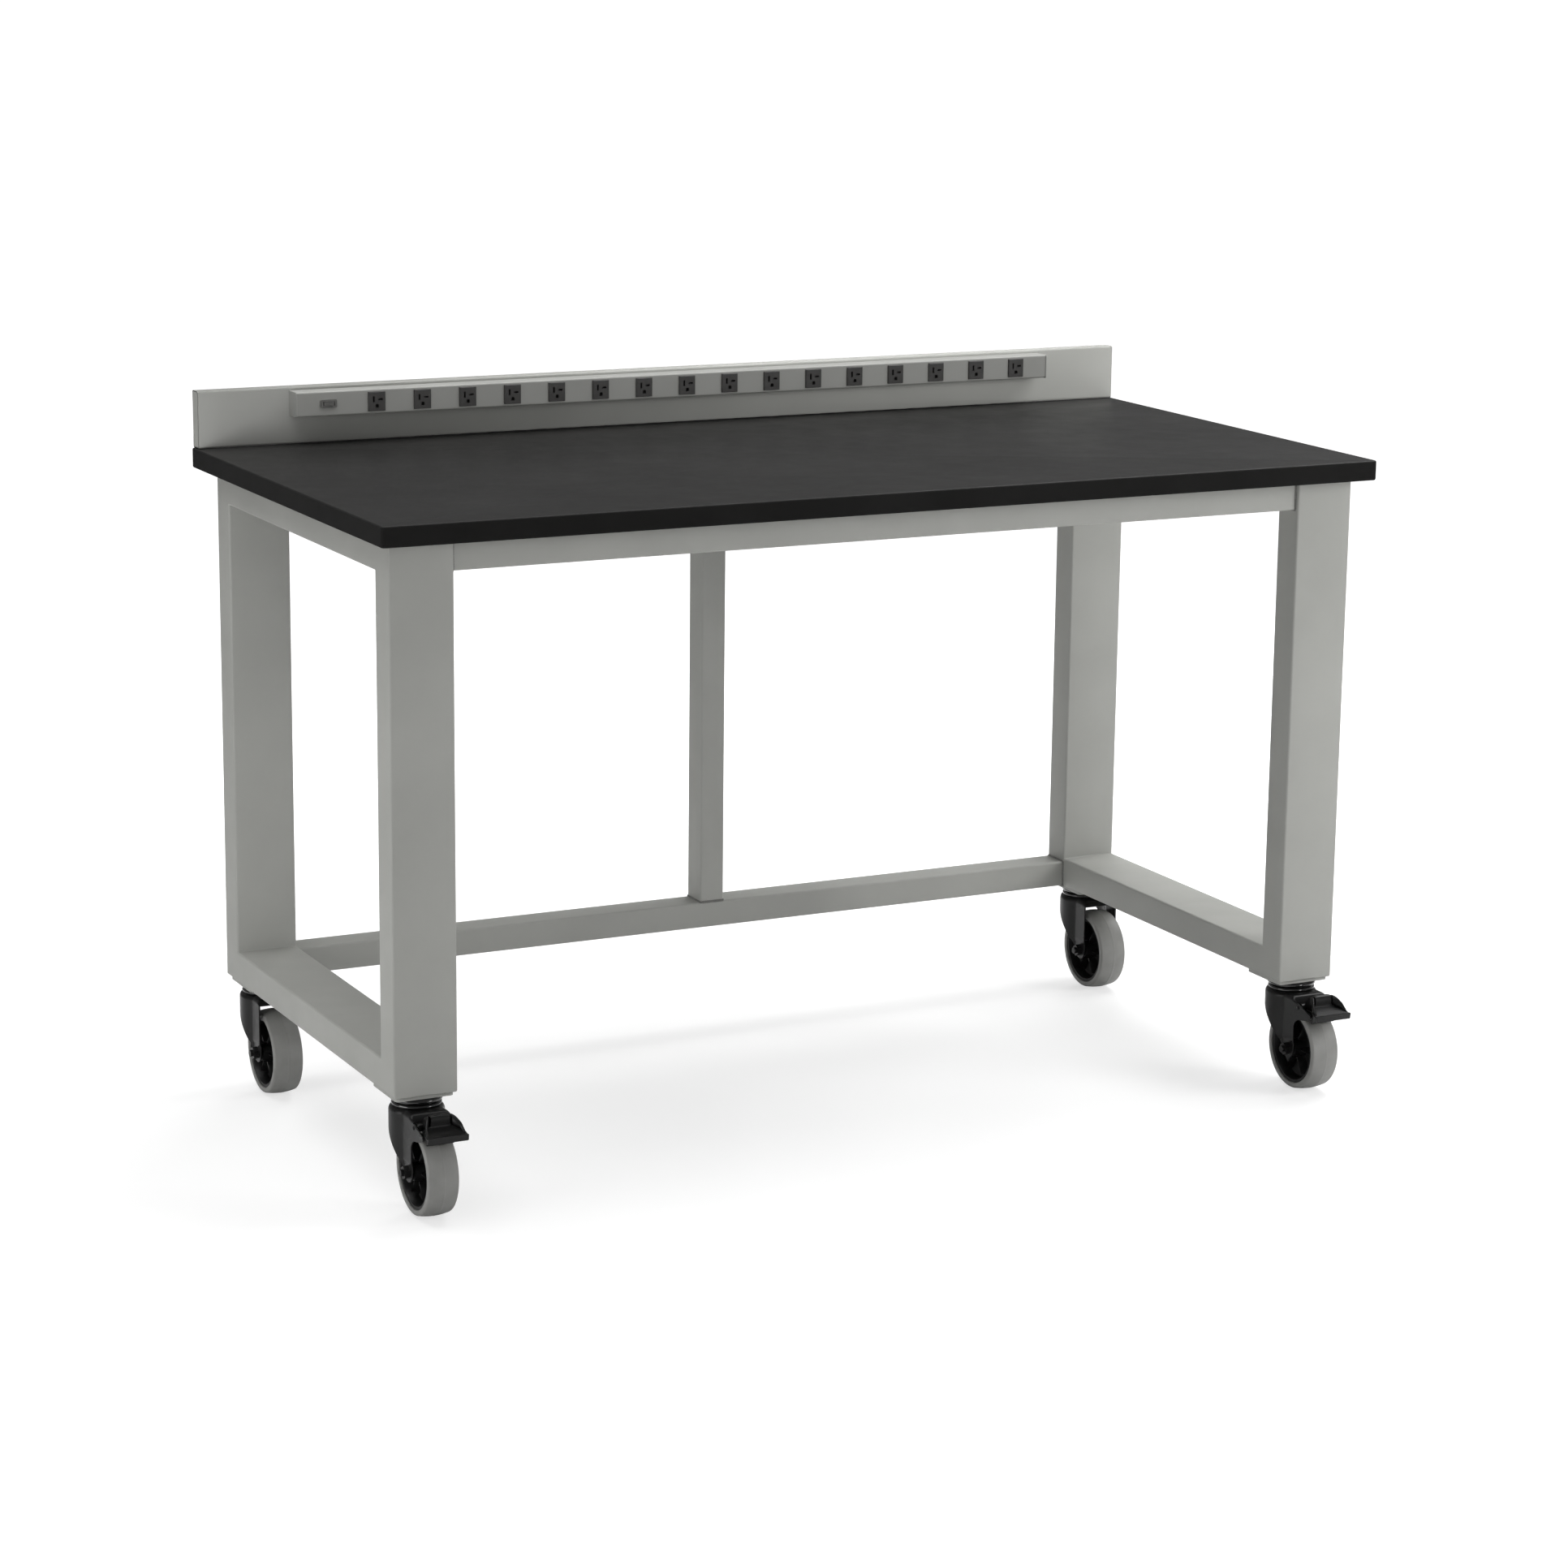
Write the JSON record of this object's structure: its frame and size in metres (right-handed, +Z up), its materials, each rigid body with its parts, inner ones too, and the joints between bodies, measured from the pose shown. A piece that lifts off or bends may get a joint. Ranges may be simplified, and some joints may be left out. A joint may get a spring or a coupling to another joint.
{
  "type": "mobile laboratory bench",
  "caption": "Mobile laboratory bench: thick dark resin worktop with a steel upstand and an outlet strip, on a welded rectangular-tube frame with braked swivel casters.",
  "frame": {"origin": "centre of the footprint at floor level, under the tyres", "axes": "+X along the worktop to the right seen from the front, +Y to the back where the upstand is, +Z up"},
  "size_m": [1.524, 0.807, 1.0208],
  "materials": {
    "powder_coat": "light warm-grey powder coat with a fine texture",
    "dark_resin": "charcoal resin slab with a satin top",
    "black_steel": "black coated pressed steel",
    "black_plastic": "black moulded plastic",
    "grey_rubber": "grey non-marking rubber tread",
    "grey_aluminium": "grey painted channel",
    "outlet_plastic": "dark grey moulded outlet",
    "switch_plastic": "grey moulded bezel"
  },
  "bodies": {
    "bench": {"left_front_leg": "powder_coat", "left_rear_leg": "powder_coat", "left_top_rail": "powder_coat", "left_bottom_rail": "powder_coat", "right_front_leg": "powder_coat", "right_rear_leg": "powder_coat", "right_top_rail": "powder_coat", "right_bottom_rail": "powder_coat", "front_top_rail": "powder_coat", "rear_top_rail": "powder_coat", "rear_bottom_rail": "powder_coat", "rear_centre_post": "powder_coat", "front_left_caster_plate": "powder_coat", "front_right_caster_plate": "powder_coat", "rear_left_caster_plate": "powder_coat", "rear_right_caster_plate": "powder_coat", "worktop": "dark_resin", "upstand": "powder_coat", "strip_housing": "grey_aluminium", "supply_gland": "black_plastic", "switch_bezel": "switch_plastic", "outlet_01": "outlet_plastic", "outlet_02": "outlet_plastic", "outlet_03": "outlet_plastic", "outlet_04": "outlet_plastic", "outlet_05": "outlet_plastic", "outlet_06": "outlet_plastic", "outlet_07": "outlet_plastic", "outlet_08": "outlet_plastic", "outlet_09": "outlet_plastic", "outlet_10": "outlet_plastic", "outlet_11": "outlet_plastic", "outlet_12": "outlet_plastic", "outlet_13": "outlet_plastic", "outlet_14": "outlet_plastic", "outlet_15": "outlet_plastic", "outlet_16": "outlet_plastic", "front_left_swivel_head": "black_steel", "front_right_swivel_head": "black_steel", "rear_left_swivel_head": "black_steel", "rear_right_swivel_head": "black_steel"},
    "front_left_swivel": {"front_left_fork": "black_steel", "front_left_axle": "black_steel"},
    "front_left_wheel": {"front_left_wheel_core": "black_plastic", "front_left_tyre": "grey_rubber"},
    "front_left_brake": {"front_left_brake_pedal": "black_steel"},
    "front_right_swivel": {"front_right_fork": "black_steel", "front_right_axle": "black_steel"},
    "front_right_wheel": {"front_right_wheel_core": "black_plastic", "front_right_tyre": "grey_rubber"},
    "front_right_brake": {"front_right_brake_pedal": "black_steel"},
    "rear_left_swivel": {"rear_left_fork": "black_steel", "rear_left_axle": "black_steel"},
    "rear_left_wheel": {"rear_left_wheel_core": "black_plastic", "rear_left_tyre": "grey_rubber"},
    "rear_right_swivel": {"rear_right_fork": "black_steel", "rear_right_axle": "black_steel"},
    "rear_right_wheel": {"rear_right_wheel_core": "black_plastic", "rear_right_tyre": "grey_rubber"},
    "rocker": {"switch_rocker": "black_plastic"}
  },
  "joints": [
    {"name": "front_left_swivel", "type": "hinge", "parent": "bench", "child": "front_left_swivel", "pos_m": [-0.6955, -0.2895, 0.149], "axis": [0, 0, 1], "continuous": true},
    {"name": "front_left_wheel_spin", "type": "hinge", "parent": "front_left_swivel", "child": "front_left_wheel", "pos_m": [-0.6955, -0.3275, 0.0625], "axis": [1, 0, 0], "continuous": true},
    {"name": "front_left_brake_press", "type": "hinge", "parent": "front_left_swivel", "child": "front_left_brake", "pos_m": [-0.6955, -0.3535, 0.1314], "axis": [1, 0, 0], "range_deg": [0, 8]},
    {"name": "front_right_swivel", "type": "hinge", "parent": "bench", "child": "front_right_swivel", "pos_m": [0.6955, -0.2895, 0.149], "axis": [0, 0, 1], "continuous": true},
    {"name": "front_right_wheel_spin", "type": "hinge", "parent": "front_right_swivel", "child": "front_right_wheel", "pos_m": [0.6955, -0.3275, 0.0625], "axis": [1, 0, 0], "continuous": true},
    {"name": "front_right_brake_press", "type": "hinge", "parent": "front_right_swivel", "child": "front_right_brake", "pos_m": [0.6955, -0.3535, 0.1314], "axis": [1, 0, 0], "range_deg": [0, 8]},
    {"name": "rear_left_swivel", "type": "hinge", "parent": "bench", "child": "rear_left_swivel", "pos_m": [-0.6955, 0.3155, 0.149], "axis": [0, 0, 1], "continuous": true},
    {"name": "rear_left_wheel_spin", "type": "hinge", "parent": "rear_left_swivel", "child": "rear_left_wheel", "pos_m": [-0.6955, 0.2775, 0.0625], "axis": [1, 0, 0], "continuous": true},
    {"name": "rear_right_swivel", "type": "hinge", "parent": "bench", "child": "rear_right_swivel", "pos_m": [0.6955, 0.3155, 0.149], "axis": [0, 0, 1], "continuous": true},
    {"name": "rear_right_wheel_spin", "type": "hinge", "parent": "rear_right_swivel", "child": "rear_right_wheel", "pos_m": [0.6955, 0.2775, 0.0625], "axis": [1, 0, 0], "continuous": true},
    {"name": "switch_rock", "type": "hinge", "parent": "bench", "child": "rocker", "pos_m": [-0.5715, 0.3536, 0.998], "axis": [0, 0, 1], "range_deg": [0, 20]}
  ]
}
